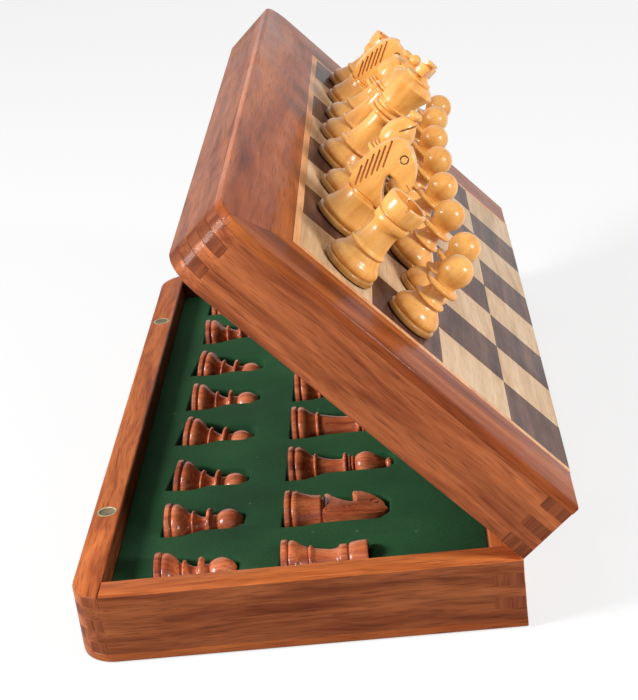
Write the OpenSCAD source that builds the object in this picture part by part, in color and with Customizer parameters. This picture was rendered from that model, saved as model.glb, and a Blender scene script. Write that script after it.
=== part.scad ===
// Folding travel chess case: two half boards hinged along one long edge, with a
// felt-covered lining in each half. The dark men lie in the lower half's lining and
// the white men stand on the half board of the raised lid.
// Millimetres. X runs from the free edge to the hinge, Y along the hinge, Z up.
// The origin is the centre of the lower half's underside.

/* [Board] */
// Side of one square of the board
square = 26; // [24:0.5:34]
// Width of the squares beside the hinge, where the saw parted the board
last_square = 22.7; // [20:0.1:34]
// Width of the wooden border at the two ends, outside the pale line
border_w = 20.5; // [16:0.5:28]
// Width of the wooden border along the free edge, outside the pale line
border_free_w = 23.8; // [16:0.2:28]
// Width of the pale line between border and squares
line_w = 2.5; // [1:0.1:4]
// Thickness of the squares, the pale line and the border
board_t = 2.8; // [2:0.1:3]
// Thickness of the steel sheet that the men's magnets hold to
sheet_t = 0.4; // [0.3:0.05:0.6]
// Glue line left around each square and each strip
glue = 0.05; // [0.02:0.01:0.1]

/* [Case] */
// Height of each half of the case, with its board
half_h = 21.4; // [21:0.2:30]
// Thickness of the four rails of each half
rail_t = 8.7; // [7.5:0.1:11]
// Radius of the two upright corners at the free edge
corner_r = 11; // [9:0.5:16]
// Gap between the two rims when the case is shut
rim_gap = 0.2; // [0.1:0.05:0.5]
// Fingers in each corner joint
finger_n = 5; // [3:2:9]
// Radius of the rim magnets
catch_r = 3; // [2:0.1:3.5]
// Depth of the rim magnets
catch_t = 2; // [1:0.1:4]
// Distance of the rim magnets from the case's ends
catch_inset = 50.5; // [25:0.5:90]

/* [Lid] */
// Angle by which the lid stands open
lid_open = 48; // [5:1:130]

/* [Hinges] */
// Length of one hinge
hinge_len = 24; // [16:0.5:36]
// Distance of a hinge's middle from the case's end
hinge_inset = 52; // [30:1:90]
// Outer radius of the hinge knuckles
knuckle_r = 1.5; // [1.3:0.05:1.9]
// Radius of the hinge pin
pin_r = 0.8; // [0.5:0.05:1]
// Radial clearance of the pin in its knuckles
pin_clear = 0.05; // [0.02:0.01:0.09]
// Thickness of a hinge leaf
leaf_t = 0.8; // [0.5:0.05:1.1]
// Width of a hinge leaf from the hinge line
leaf_w = 6.6; // [5.5:0.1:7]
// Gap between the two halves' hinge edges when the case is laid flat
flat_gap = 0.3; // [0.2:0.05:0.6]
// Radius of the screw shanks
screw_r = 0.9; // [0.6:0.05:1]
// Radius of the countersunk screw heads
screw_head_r = 1.7; // [1.3:0.05:1.9]
// Length of a screw
screw_len = 7; // [4:0.5:12]

/* [Lining] */
// Depth of the felt below the rim
felt_depth = 7; // [6.6:0.1:8]
// Depth below the rim of the lying men's middle line
lie_depth = 9; // [8.9:0.1:9.2]
// Clearance beside a lying man in its pocket
pocket_side = 0.5; // [0.4:0.05:0.9]
// Clearance under a lying man in its pocket
pocket_gap = 0.3; // [0.2:0.05:0.5]
// Distance of the lying pawns' feet from the free edge
pawn_row_x = 21.5; // [15:0.5:24]
// Distance of the other lying men's feet from the free edge
rear_row_x = 58.5; // [52:0.5:60]
// Distance from an end rail to the middle of the pockets beside it
pocket_end = 14; // [9.5:0.1:16]

/* [Men] */
// Thickness of the felt under a man
foot_felt_t = 0.8; // [0.5:0.1:1.2]
// Thickness of each of the two rounded steps of a foot
foot_step = 2.3; // [1.8:0.1:2.6]
// Height of a foot up to its neck
foot_h = 9; // [8:0.2:10]
// Radius of the magnet in a foot
magnet_r = 4; // [2.5:0.1:4.5]
// Height of the magnet in a foot
magnet_t = 2; // [1:0.1:2.5]
// Radius of a pawn's foot
pawn_r = 7.8; // [7:0.1:8.2]
// Height of a pawn
pawn_h = 24; // [22:0.5:27]
// Radius of a pawn's ball
pawn_ball_r = 4.6; // [4:0.1:5]
// Radius of a rook's foot
rook_r = 8.4; // [7.8:0.1:8.6]
// Height of a rook
rook_h = 25.5; // [24:0.5:28]
// Radius of a rook's battlement
rook_top_r = 5.8; // [5:0.1:6.4]
// Radius of a knight's foot
knight_r = 8.4; // [7.8:0.1:8.6]
// Height of a knight
knight_h = 31.5; // [29:0.5:34]
// Thickness of a knight's head
knight_t = 8.4; // [7:0.2:10]
// Radius of a bishop's foot
bishop_r = 8.4; // [7.8:0.1:8.6]
// Height of a bishop
bishop_h = 33.5; // [31:0.5:36]
// Radius of a bishop's mitre
bishop_head_r = 4.8; // [4.2:0.1:5.4]
// Radius of a queen's foot
queen_r = 8.5; // [7.8:0.1:8.6]
// Height of a queen
queen_h = 40; // [37:0.5:43]
// Radius of a queen's crown
queen_top_r = 6.8; // [6:0.1:7.4]
// Radius of a king's foot
king_r = 8.6; // [7.8:0.1:8.7]
// Height of a king with its cross
king_h = 45; // [42:0.5:47]
// Radius of a king's crown
king_top_r = 7.4; // [6.4:0.1:7.8]
// Radius of the widest collar under a head
collar_r = 5; // [4.2:0.1:5.6]

/* [Hidden] */
$fn = 64;
half_w = border_free_w + line_w + 3 * square + last_square;
case_l = 2 * (border_w + line_w) + 8 * square;
hw = half_w / 2;
hl = case_l / 2;
hinge_x = hw + flat_gap / 2;
hinge_z = half_h + rim_gap / 2;
free_inset = border_free_w + line_w;
end_inset = border_w + line_w;
felt_z = half_h - felt_depth;
lining_z = board_t + sheet_t;
lie_z = half_h - lie_depth;
wall_h = half_h - board_t;
pocket_pitch = (case_l - 2 * (rail_t + pocket_end)) / 7;
finger_h = wall_h / finger_n;
hinge_y = hl - hinge_inset;
catch_y = hl - catch_inset;
// knuckles of one hinge, and the play that is left round them
knuckle_n = 5;
knuckle_play = 0.25;
knuckle_end_gap = 0.2;
screw_spread = 0.3;
screw_play = 0.1;
lining_play = 0.15;
// lengths over which a pocket narrows behind the foot and at the head's tip
pocket_taper = 6;
pocket_nose = 3;
// overshoot that carries a cut right through its piece
cut = 1;

// kinds of men
PAWN = 0;
ROOK = 1;
KNIGHT = 2;
BISHOP = 3;
QUEEN = 4;
KING = 5;
kind_names = ["pawn", "rook", "knight", "bishop", "queen", "king"];
foot_r = [pawn_r, rook_r, knight_r, bishop_r, queen_r, king_r];
man_h = [pawn_h, rook_h, knight_h, bishop_h, queen_h, king_h];
// widest radius of each kind above its foot
upper_r = [
    max(pawn_ball_r, collar_r),
    max(rook_top_r, collar_r + 0.6),
    7,
    max(bishop_head_r, collar_r),
    max(queen_top_r, collar_r + 0.4),
    max(king_top_r, collar_r + 0.6)
];
// half width of each kind near its tip
tip_r = [2.6, rook_top_r, 3.4, 2.4, 2.6, 3.8];
files = ["h", "g", "f", "e", "d", "c", "b", "a"];
back_row = [ROOK, KNIGHT, BISHOP, KING, QUEEN, BISHOP, KNIGHT, ROOK];
// how far each standing man is off the middle of its square, along X and along Y
back_off = [[3.5, -3], [0, 3], [0.5, 2.5], [-1, 5.5], [-1, 4.5], [0.5, 3.5], [1, 4], [1, 3]];
pawn_off = [[0.5, -2.5], [6, 0.5], [1.5, -4.5], [0.5, -4.5], [0, -3], [0, -3], [2, 1], [5.5, 0.5]];
// how far each lying pawn's pocket is off the even spacing, how far the pawn's head
// dips and how far each man is turned
pawn_shift = [0, 0, 0, 2.5, 0, 0, 0, 0];
pawn_dip = [0, 0, 7, 8, 5, 8, 0, 3];
pawn_turn = [0, 2, 7, 8, 3, 8, 0, 2];
rear_turn = [0, 2, 1, 0, 0, 1, 0, 0];

// Carries a shape made as a lower half over to the lid: mirrored in the rim plane,
// then swung open about the hinge line.
module on_lid() {
    translate([hinge_x, 0, hinge_z])
        rotate([0, lid_open, 0])
            translate([-hinge_x, 0, hinge_z])
                mirror([0, 0, 1])
                    children();
}

// Outline of a half seen from above, round at the two free-edge corners.
module outline() {
    difference() {
        translate([-hw, -hl])
            square([half_w, case_l]);
        for (side = [-1, 1])
            difference() {
                translate([-hw - cut, side > 0 ? hl - corner_r : -hl - cut])
                    square([corner_r + cut, corner_r + cut]);
                translate([-hw + corner_r, side * (hl - corner_r)])
                    circle(r = corner_r);
            }
    }
}

module wall_ring() {
    translate([0, 0, board_t])
        difference() {
            linear_extrude(wall_h)
                outline();
            translate([-hw + rail_t, -hl + rail_t, -cut])
                cube([half_w - 2 * rail_t, case_l - 2 * rail_t, wall_h + 2 * cut]);
        }
}

// The layers of a corner joint that one rail owns: every second finger.
module finger_layers(first, x, y, size_x, size_y) {
    for (k = [first : 2 : finger_n - 1])
        translate([x, y, board_t + k * finger_h])
            cube([size_x, size_y, finger_h]);
}

// A long rail, on the free side (-1) or the hinge side (1).
module long_rail(side, first) {
    x = side < 0 ? -hw : hw - rail_t;
    intersection() {
        wall_ring();
        union() {
            translate([x, -hl + rail_t, board_t])
                cube([rail_t, case_l - 2 * rail_t, wall_h]);
            finger_layers(first, x, -hl, rail_t, rail_t);
            finger_layers(first, x, hl - rail_t, rail_t, rail_t);
        }
    }
}

// A short rail, at the near end (-1) or the far end (1). The two numbers say which
// fingers it owns at the free edge and at the hinge.
module end_rail(side, first_free, first_hinge) {
    y = side < 0 ? -hl : hl - rail_t;
    intersection() {
        wall_ring();
        union() {
            translate([-hw + rail_t, y, board_t])
                cube([half_w - 2 * rail_t, rail_t, wall_h]);
            finger_layers(first_free, -hw, y, rail_t, rail_t);
            finger_layers(first_hinge, hw - rail_t, y, rail_t, rail_t);
        }
    }
}

// Bed for the hinges: a shallow mortise for each leaf, room for the knuckles and
// pilot holes for the screws.
module hinge_beds() {
    for (side = [-1, 1]) {
        translate([hinge_x - leaf_w - screw_play, side * hinge_y - hinge_len / 2 - screw_play,
                   half_h - leaf_t])
            cube([leaf_w + cut, hinge_len + 2 * screw_play, leaf_t + cut]);
        translate([hinge_x, side * hinge_y - hinge_len / 2 - screw_play, hinge_z])
            rotate([-90, 0, 0])
                cylinder(r = knuckle_r + knuckle_play, h = hinge_len + 2 * screw_play);
        for (y = screw_ys(side))
            translate([screw_x(), y, half_h - screw_len - screw_play])
                cylinder(r = screw_r + screw_play, h = screw_len);
    }
}

function screw_x() = hinge_x - (leaf_w + knuckle_r) / 2 - screw_spread;
function screw_ys(side) = [for (s = [-1, 1]) side * hinge_y + s * hinge_len / 4];

module catch_holes() {
    for (side = [-1, 1])
        translate([-hw + rail_t / 2, side * catch_y, half_h - catch_t])
            cylinder(r = catch_r + glue, h = catch_t + cut);
}

module free_rail(first) {
    difference() {
        long_rail(-1, first);
        catch_holes();
    }
}

module hinge_rail(first) {
    difference() {
        long_rail(1, first);
        hinge_beds();
    }
}

module catches() {
    for (side = [-1, 1])
        translate([-hw + rail_t / 2, side * catch_y, half_h - catch_t])
            cylinder(r = catch_r, h = catch_t);
}

// Border of the board: one long strip and two end strips, mitred at the corners.
module board_border() {
    for (part = [-1, 0, 1])
        linear_extrude(board_t)
            intersection() {
                difference() {
                    outline();
                    translate([-hw + border_free_w, -hl + border_w])
                        square([half_w, case_l - 2 * border_w]);
                }
                border_share(part);
            }
}

// Share of the border that one strip has: 0 is the long one, -1 and 1 the ends.
module border_share(part) {
    g = glue;
    if (part == 0)
        polygon([[-hw, -hl + g], [-hw + border_free_w, -hl + border_w + g],
                 [-hw + border_free_w, hl - border_w - g], [-hw, hl - g]]);
    else
        mirror([0, part < 0 ? 0 : 1])
            polygon([[-hw + g, -hl], [hw, -hl], [hw, -hl + border_w],
                     [-hw + border_free_w + g, -hl + border_w]]);
}

// Pale line between border and squares, in three strips.
module board_line() {
    x0 = -hw + border_free_w + glue;
    y0 = hl - border_w - glue;
    t = line_w - 2 * glue;
    translate([x0, -y0 + line_w, 0])
        cube([t, 2 * (y0 - line_w), board_t]);
    for (side = [-1, 1])
        translate([x0, side < 0 ? -y0 : y0 - t, 0])
            cube([hw - x0, t, board_t]);
}

// The squares of one colour. shade is 0 or 1.
module squares(shade) {
    for (i = [0 : 3], j = [0 : 7])
        if ((i + j) % 2 == shade)
            translate([-hw + free_inset + i * square, -hl + end_inset + j * square, 0])
                cube([(i == 3 ? last_square : square) - glue, square - glue, board_t]);
}

module steel_sheet() {
    translate([-hw + rail_t + glue, -hl + rail_t + glue, board_t])
        cube([half_w - 2 * (rail_t + glue), case_l - 2 * (rail_t + glue), sheet_t]);
}

// Top view of a lying man's pocket, wide at the foot and drawn in towards the head.
// The man lies along X with its foot at 0.
module pocket_outline(kind, dip) {
    r = foot_r[kind] + pocket_side;
    w = upper_r[kind] + pocket_side;
    t = tip_r[kind] + pocket_side;
    back = pocket_side + foot_r[kind] * sin(dip);
    front = foot_felt_t + 2 * foot_step + pocket_side + foot_r[kind] * sin(dip);
    tip = man_h[kind] + pocket_side;
    taper = front + pocket_taper;
    nose = tip - pocket_nose;
    polygon([[-back, -r], [front, -r], [taper, -w], [nose, -w], [tip, -t],
             [tip, t], [nose, w], [taper, w], [front, r], [-back, r]]);
}

// Depth of a pocket below the lying man's middle line.
function pocket_drop(kind, dip) =
    foot_r[kind] * cos(dip) + (foot_felt_t + 2 * foot_step) * sin(dip) + pocket_gap;

function pocket_y(k) = (k - 3.5) * pocket_pitch;
function pawn_y(k) = pocket_y(k) + pawn_shift[k];

module pocket(kind, x, y, turn, dip) {
    floor_z = lie_z - pocket_drop(kind, dip);
    translate([-hw + x, y, floor_z])
        rotate([0, 0, -turn])
            linear_extrude(felt_z - floor_z + cut)
                pocket_outline(kind, dip);
}

module lining() {
    difference() {
        translate([-hw + rail_t + lining_play, -hl + rail_t + lining_play, lining_z])
            cube([half_w - 2 * (rail_t + lining_play), case_l - 2 * (rail_t + lining_play),
                  felt_z - lining_z]);
        for (k = [0 : 7]) {
            pocket(PAWN, pawn_row_x, pawn_y(k), pawn_turn[k], pawn_dip[k]);
            pocket(back_row[k], rear_row_x, pocket_y(k), rear_turn[k], 0);
        }
    }
}

// One leaf of each hinge with its share of the knuckles: first is 0 or 1.
module hinge_leaves(first) {
    seg = hinge_len / knuckle_n;
    for (side = [-1, 1]) {
        y0 = side * hinge_y - hinge_len / 2;
        difference() {
            union() {
                translate([hinge_x - leaf_w, y0, half_h - leaf_t])
                    cube([leaf_w, hinge_len, leaf_t]);
                for (k = [first : 2 : knuckle_n - 1])
                    translate([hinge_x, y0 + k * seg + knuckle_end_gap / 2, hinge_z])
                        rotate([-90, 0, 0])
                            cylinder(r = knuckle_r, h = seg - knuckle_end_gap);
            }
            for (k = [1 - first : 2 : knuckle_n - 1])
                translate([hinge_x, y0 + k * seg - knuckle_end_gap / 2, hinge_z])
                    rotate([-90, 0, 0])
                        cylinder(r = knuckle_r + knuckle_play, h = seg + knuckle_end_gap);
            translate([hinge_x, y0 - cut, hinge_z])
                rotate([-90, 0, 0])
                    cylinder(r = pin_r + pin_clear, h = hinge_len + 2 * cut);
            for (y = screw_ys(side))
                translate([screw_x(), y, half_h]) {
                    translate([0, 0, -leaf_t - cut])
                        cylinder(r = screw_r + screw_play, h = leaf_t + 2 * cut);
                    translate([0, 0, -leaf_t])
                        cylinder(r1 = screw_r + screw_play, r2 = screw_head_r + screw_play,
                                 h = leaf_t);
                }
        }
    }
}

module pins() {
    for (side = [-1, 1])
        translate([hinge_x, side * hinge_y - hinge_len / 2, hinge_z])
            rotate([-90, 0, 0])
                cylinder(r = pin_r, h = hinge_len);
}

module screws() {
    for (side = [-1, 1], y = screw_ys(side))
        translate([screw_x(), y, half_h]) {
            translate([0, 0, -screw_len])
                cylinder(r = screw_r, h = screw_len);
            translate([0, 0, -leaf_t])
                cylinder(r1 = screw_r, r2 = screw_head_r, h = leaf_t);
        }
}

// A flat disc with a round edge, drawn as half of its section.
module round_step(r, z, t) {
    translate([0, z])
        square([r - t / 2, t]);
    translate([r - t / 2, z + t / 2])
        circle(r = t / 2);
}

// Half section of a foot: two round steps and a hollow flank up to the neck.
module foot_section(r, neck_r) {
    z1 = foot_felt_t + glue;
    z2 = z1 + foot_step;
    z3 = z2 + foot_step;
    round_step(r, z1, foot_step);
    round_step(r - 0.3, z2, foot_step);
    polygon([[0, z1], [r - 1.6, z1 + 1], [r - 1.4, z3 - 0.5],
             [(r * 2 + neck_r) / 3, z3 + (foot_h - z3) * 0.3],
             [(r + neck_r * 2) / 3 - 0.4, z3 + (foot_h - z3) * 0.65],
             [neck_r, foot_h], [0, foot_h]]);
}

// Half section of a stem that narrows upwards between two heights.
module stem_section(z0, z1, r0, r1) {
    polygon([[0, z0], [r0, z0], [(r0 + r1) / 2 - 0.25, (z0 + z1) / 2], [r1, z1], [0, z1]]);
}

module pawn_section() {
    ball_z = pawn_h - pawn_ball_r;
    collar_z = ball_z - pawn_ball_r - 1.2;
    foot_section(pawn_r, 4.2);
    round_step(4.6, foot_h - 0.4, 1);
    stem_section(foot_h, collar_z, 3.6, 2.6);
    round_step(collar_r, collar_z, 1.6);
    stem_section(collar_z, ball_z, 2.8, 2.8);
    translate([0, ball_z])
        circle(r = pawn_ball_r);
}

module rook_section() {
    head_z = rook_h - 7.2;
    foot_section(rook_r, 5.4);
    round_step(5.8, foot_h - 0.4, 1);
    stem_section(foot_h, head_z, 5, 4.3);
    round_step(collar_r + 0.4, head_z - 1.6, 1.2);
    polygon([[0, head_z - 1], [4.8, head_z - 0.6], [rook_top_r - 0.6, head_z + 0.8],
             [rook_top_r, rook_h], [rook_top_r - 2, rook_h],
             [rook_top_r - 2.2, rook_h - 2.4], [0, rook_h - 2.4]]);
}

module knight_section() {
    foot_section(knight_r, 5.6);
    round_step(6.2, foot_h - 0.4, 1.8);
}

module bishop_section() {
    head_z = bishop_h - 12.2;
    foot_section(bishop_r, 4.8);
    round_step(5.2, foot_h - 0.4, 1);
    stem_section(foot_h, head_z - 3.2, 4.2, 2.9);
    round_step(collar_r, head_z - 3.6, 1.3);
    round_step(collar_r - 0.8, head_z - 2.1, 1);
    polygon([[0, head_z - 3], [3.2, head_z - 3], [3, head_z - 0.6], [3.6, head_z + 0.6],
             [bishop_head_r, head_z + 3.2], [bishop_head_r - 0.2, head_z + 5],
             [bishop_head_r - 1.3, head_z + 7.4], [1.4, head_z + 9.8], [0, head_z + 9.8]]);
    translate([0, bishop_h - 1.7])
        circle(r = 1.7);
}

module queen_section() {
    head_z = queen_h - 14;
    foot_section(queen_r, 5.2);
    round_step(5.6, foot_h - 0.4, 1);
    stem_section(foot_h, head_z - 2.8, 4.6, 3.3);
    round_step(collar_r + 0.4, head_z - 3.2, 1.3);
    round_step(collar_r - 0.4, head_z - 1.6, 1);
    polygon([[0, head_z - 2.8], [3.8, head_z - 1], [4, head_z], [4.8, head_z + 3.4],
             [queen_top_r, head_z + 8.4], [queen_top_r - 0.7, head_z + 9.2],
             [queen_top_r - 2.2, head_z + 8.8], [3.6, head_z + 10.2],
             [1.6, head_z + 11], [0, head_z + 11]]);
    translate([0, queen_h - 2])
        circle(r = 2);
}

module king_section() {
    head_z = king_h - 18.5;
    foot_section(king_r, 5.4);
    round_step(5.8, foot_h - 0.4, 1);
    stem_section(foot_h, head_z - 2.8, 4.8, 3.5);
    round_step(collar_r + 0.6, head_z - 3.2, 1.3);
    round_step(collar_r, head_z - 1.6, 1);
    polygon([[0, head_z - 2.8], [4.6, head_z - 1], [5.2, head_z], [6, head_z + 4],
             [king_top_r, head_z + 9], [king_top_r - 0.7, head_z + 9.8],
             [4.6, head_z + 11], [3, head_z + 12.2], [0, head_z + 12.2]]);
}

module lathe() {
    rotate_extrude()
        intersection() {
            children();
            square([2 * king_r, king_h]);
        }
}

// Side view of a horse's head and neck from the collar up, muzzle towards +X.
module knight_profile() {
    z0 = foot_h + 0.8;
    top = knight_h;
    polygon([[-5.2, z0], [-6.3, z0 + 5], [-6.6, top - 12], [-5.4, top - 6.5],
             [-2.8, top - 2], [-1.4, top], [0.2, top - 2.2], [2.4, top - 4],
             [4.6, top - 7], [6.6, top - 11.4], [6, top - 13.4], [4.4, top - 13.6],
             [1.6, top - 11.6], [0.8, top - 13.4], [2.2, top - 17],
             [4.6, z0 + 2], [5.2, z0]]);
}

module knight_head() {
    z0 = foot_h + 0.8;
    intersection() {
        rotate([90, 0, 0])
            linear_extrude(2 * knight_t, center = true)
                knight_profile();
        rotate([90, 0, 90])
            linear_extrude(4 * knight_t, center = true)
                polygon([[-knight_t / 2, z0], [knight_t / 2, z0],
                         [knight_t / 2 - 0.6, knight_h - 9], [1.6, knight_h + 0.1],
                         [-1.6, knight_h + 0.1], [-knight_t / 2 + 0.6, knight_h - 9]]);
    }
}

module rook_turned() {
    notch_w = 1.8;
    notch_d = 1.9;
    difference() {
        lathe()
            rook_section();
        for (a = [0, 60, 120])
            rotate([0, 0, a])
                translate([-rook_top_r - cut, -notch_w / 2, rook_h - notch_d])
                    cube([2 * (rook_top_r + cut), notch_w, notch_d + cut]);
    }
}

module bishop_turned() {
    slit_w = 0.9;
    difference() {
        lathe()
            bishop_section();
        translate([0.6, 0, bishop_h - 6.4])
            rotate([0, -35, 0])
                translate([0, -bishop_head_r - cut, 0])
                    cube([2 * bishop_head_r, 2 * (bishop_head_r + cut), slit_w]);
    }
}

module king_turned() {
    cross_z = king_h - 6.4;
    lathe()
        king_section();
    translate([0, 0, cross_z])
        rotate([90, 0, 0])
            linear_extrude(3, center = true)
                polygon([[-1.8, -0.6], [-1.2, 1.6], [-3.5, 1.2], [-3.5, 4.8], [-1.3, 4.2],
                         [-1.8, 6.4], [1.8, 6.4], [1.3, 4.2], [3.5, 4.8], [3.5, 1.2],
                         [1.2, 1.6], [1.8, -0.6]]);
}

module man_wood(kind) {
    if (kind == PAWN)
        lathe()
            pawn_section();
    if (kind == ROOK)
        rook_turned();
    if (kind == KNIGHT) {
        lathe()
            knight_section();
        knight_head();
    }
    if (kind == BISHOP)
        bishop_turned();
    if (kind == QUEEN)
        lathe()
            queen_section();
    if (kind == KING)
        king_turned();
}

// A whole man: the wood with a hole for its magnet, the magnet, and the felt.
module man(kind) {
    difference() {
        man_wood(kind);
        cylinder(r = magnet_r + glue, h = foot_felt_t + 2 * glue + magnet_t);
    }
    translate([0, 0, foot_felt_t + glue])
        cylinder(r = magnet_r, h = magnet_t);
    cylinder(r = foot_r[kind] - 0.4, h = foot_felt_t);
}

module standing_man(kind, i, j, off) {
    x = -hw + free_inset + (i + 0.5) * square + off[0];
    y = -hl + end_inset + (j + 0.5) * square + off[1];
    on_lid()
        translate([x, y, 0])
            mirror([0, 0, 1])
                man(kind);
}

module lying_man(kind, x, y, turn, dip) {
    translate([-hw + x, y, lie_z])
        rotate([0, 0, -turn])
            rotate([0, 90 + dip, 0])
                rotate([0, 0, 90])
                    man(kind);
}

module white_back(k) {
    color("goldenrod") standing_man(back_row[k], 0, k, back_off[k]);
}

module white_pawn(k) {
    color("goldenrod") standing_man(PAWN, 1, k, pawn_off[k]);
}

module dark_back(k) {
    color("maroon") lying_man(back_row[k], rear_row_x, pocket_y(k), rear_turn[k], 0);
}

module dark_pawn(k) {
    color("maroon") lying_man(PAWN, pawn_row_x, pawn_y(k), pawn_turn[k], pawn_dip[k]);
}

module tray_free_rail() {
    color("sienna") free_rail(0);
}

module tray_hinge_rail() {
    color("sienna") hinge_rail(1);
}

module tray_near_rail() {
    color("sienna") end_rail(-1, 1, 0);
}

module tray_far_rail() {
    color("sienna") end_rail(1, 1, 0);
}

module tray_border() {
    color("saddlebrown") board_border();
}

module tray_line() {
    color("wheat") board_line();
}

module tray_light_squares() {
    color("tan") squares(1);
}

module tray_dark_squares() {
    color("dimgray") squares(0);
}

module tray_steel_sheet() {
    color("silver") steel_sheet();
}

module tray_lining() {
    color("darkgreen") lining();
}

module tray_magnets() {
    color("gray") catches();
}

module lid_free_rail() {
    color("sienna") on_lid() free_rail(1);
}

module lid_hinge_rail() {
    color("sienna") on_lid() hinge_rail(0);
}

module lid_near_rail() {
    color("sienna") on_lid() end_rail(-1, 0, 1);
}

module lid_far_rail() {
    color("sienna") on_lid() end_rail(1, 0, 1);
}

module lid_border() {
    color("saddlebrown") on_lid() board_border();
}

module lid_line() {
    color("wheat") on_lid() board_line();
}

module lid_light_squares() {
    color("tan") on_lid() squares(0);
}

module lid_dark_squares() {
    color("dimgray") on_lid() squares(1);
}

module lid_steel_sheet() {
    color("silver") on_lid() steel_sheet();
}

module lid_lining() {
    color("darkgreen") on_lid() lining();
}

module lid_magnets() {
    color("gray") on_lid() catches();
}

module tray_hinge_leaves() {
    color("gold") hinge_leaves(0);
}

module lid_hinge_leaves() {
    color("gold") on_lid() hinge_leaves(1);
}

module hinge_pins() {
    color("gold") pins();
}

module tray_hinge_screws() {
    color("gold") screws();
}

module lid_hinge_screws() {
    color("gold") on_lid() screws();
}

tray_free_rail();
tray_hinge_rail();
tray_near_rail();
tray_far_rail();
tray_border();
tray_line();
tray_light_squares();
tray_dark_squares();
tray_steel_sheet();
tray_lining();
tray_magnets();
lid_free_rail();
lid_hinge_rail();
lid_near_rail();
lid_far_rail();
lid_border();
lid_line();
lid_light_squares();
lid_dark_squares();
lid_steel_sheet();
lid_lining();
lid_magnets();
tray_hinge_leaves();
lid_hinge_leaves();
hinge_pins();
tray_hinge_screws();
lid_hinge_screws();
for (k = [0 : 7]) {
    back_name = kind_names[back_row[k]];
    white_back(k);
    white_pawn(k);
    dark_back(k);
    dark_pawn(k);
}
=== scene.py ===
import bpy
import math
from mathutils import Matrix, Vector


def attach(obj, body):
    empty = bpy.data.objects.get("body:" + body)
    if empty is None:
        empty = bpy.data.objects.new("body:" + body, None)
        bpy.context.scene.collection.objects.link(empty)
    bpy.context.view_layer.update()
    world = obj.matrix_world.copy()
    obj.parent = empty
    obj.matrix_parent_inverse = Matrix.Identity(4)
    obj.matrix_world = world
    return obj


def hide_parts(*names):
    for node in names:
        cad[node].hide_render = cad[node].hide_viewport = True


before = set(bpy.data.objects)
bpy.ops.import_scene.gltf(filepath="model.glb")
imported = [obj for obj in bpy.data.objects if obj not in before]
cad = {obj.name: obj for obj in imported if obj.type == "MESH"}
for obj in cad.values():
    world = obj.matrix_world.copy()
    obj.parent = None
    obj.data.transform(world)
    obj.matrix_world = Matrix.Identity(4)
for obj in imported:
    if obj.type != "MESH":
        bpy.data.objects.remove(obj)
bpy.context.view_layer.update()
mm = 0.001

# the case as it stands, in millimetres: the lid is swung open about the hinge line
case = {
    "halfWidth": 63.5, "halfLength": 127.0, "halfHeight": 21.4, "rail": 8.7,
    "cornerRadius": 11.0, "borderEnds": 20.5, "borderFree": 23.8,
    "hingeX": 63.65, "hingeZ": 21.5, "lidOpen": 48.0, "feltTop": 14.4,
}
# how far off a plane a corner may be and still lie in it, and how square a face counts as facing a way
touch = 0.03
facing = 0.75
hingePoint = Vector((case["hingeX"], 0, case["hingeZ"]))
lidTurn = Matrix.Rotation(math.radians(case["lidOpen"]), 3, "Y")


def asLowerHalf(half, place):
    # the place of a point if its half lay where the tray is, in millimetres
    point = Vector(place) / mm
    if half == "lid":
        point = lidTurn.transposed() @ (point - hingePoint) + hingePoint
        point.z = 2 * case["hingeZ"] - point.z
    return point


def turnedLikeLowerHalf(half, direction):
    way = Vector(direction)
    if half == "lid":
        way = lidTurn.transposed() @ way
        way.z = -way.z
    return way


# ---- working by hand
def letGo():
    if bpy.context.mode != "OBJECT":
        bpy.ops.object.mode_set(mode="OBJECT")
    bpy.ops.object.select_all(action="DESELECT")


def takeUp(piece):
    letGo()
    piece.select_set(True)
    bpy.context.view_layer.objects.active = piece


def editAll(piece, kind="VERT"):
    takeUp(piece)
    bpy.ops.object.mode_set(mode="EDIT")
    bpy.ops.mesh.select_mode(type=kind)
    bpy.ops.mesh.select_all(action="SELECT")


def freeze(piece):
    takeUp(piece)
    bpy.ops.object.transform_apply(location=True, rotation=True, scale=True)


def cutAway(piece, cutter, how="DIFFERENCE"):
    takeUp(piece)
    cut = piece.modifiers.new("cut", "BOOLEAN")
    cut.operation = how
    cut.solver = "MANIFOLD"
    cut.object = cutter
    bpy.ops.object.modifier_apply(modifier=cut.name)
    bpy.data.objects.remove(cutter)


def easeEdges(piece, width, steps, angle):
    takeUp(piece)
    ease = piece.modifiers.new("ease", "BEVEL")
    ease.width = width * mm
    ease.segments = steps
    ease.limit_method = "ANGLE"
    ease.angle_limit = math.radians(angle)
    ease.use_clamp_overlap = True
    bpy.ops.object.modifier_apply(modifier=ease.name)


def smoothByAngle(piece, angle):
    takeUp(piece)
    bpy.ops.object.shade_smooth_by_angle(angle=math.radians(angle))


def block(name, size, place, turn=(0, 0, 0)):
    letGo()
    bpy.ops.mesh.primitive_cube_add(size=1, location=[v * mm for v in place],
                                    rotation=[math.radians(v) for v in turn])
    piece = bpy.context.object
    piece.name = name
    piece.scale = [v * mm for v in size]
    return piece


def prism(name, outline, depth, upright):
    # an outline drawn as a filled ring of corners, then pulled to its depth
    letGo()
    bpy.ops.mesh.primitive_circle_add(vertices=len(outline), radius=mm, fill_type="NGON")
    piece = bpy.context.object
    piece.name = name
    for vertex, (a, z) in zip(piece.data.vertices, outline):
        vertex.co = (a * mm, -depth / 2 * mm, z * mm) if upright == "Y" else \
                    (-depth / 2 * mm, a * mm, z * mm)
    editAll(piece, "FACE")
    pull = (0, depth * mm, 0) if upright == "Y" else (depth * mm, 0, 0)
    bpy.ops.mesh.extrude_region_move(TRANSFORM_OT_translate={"value": pull})
    bpy.ops.mesh.select_all(action="SELECT")
    bpy.ops.mesh.normals_make_consistent(inside=False)
    bpy.ops.object.mode_set(mode="OBJECT")
    return piece


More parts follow.
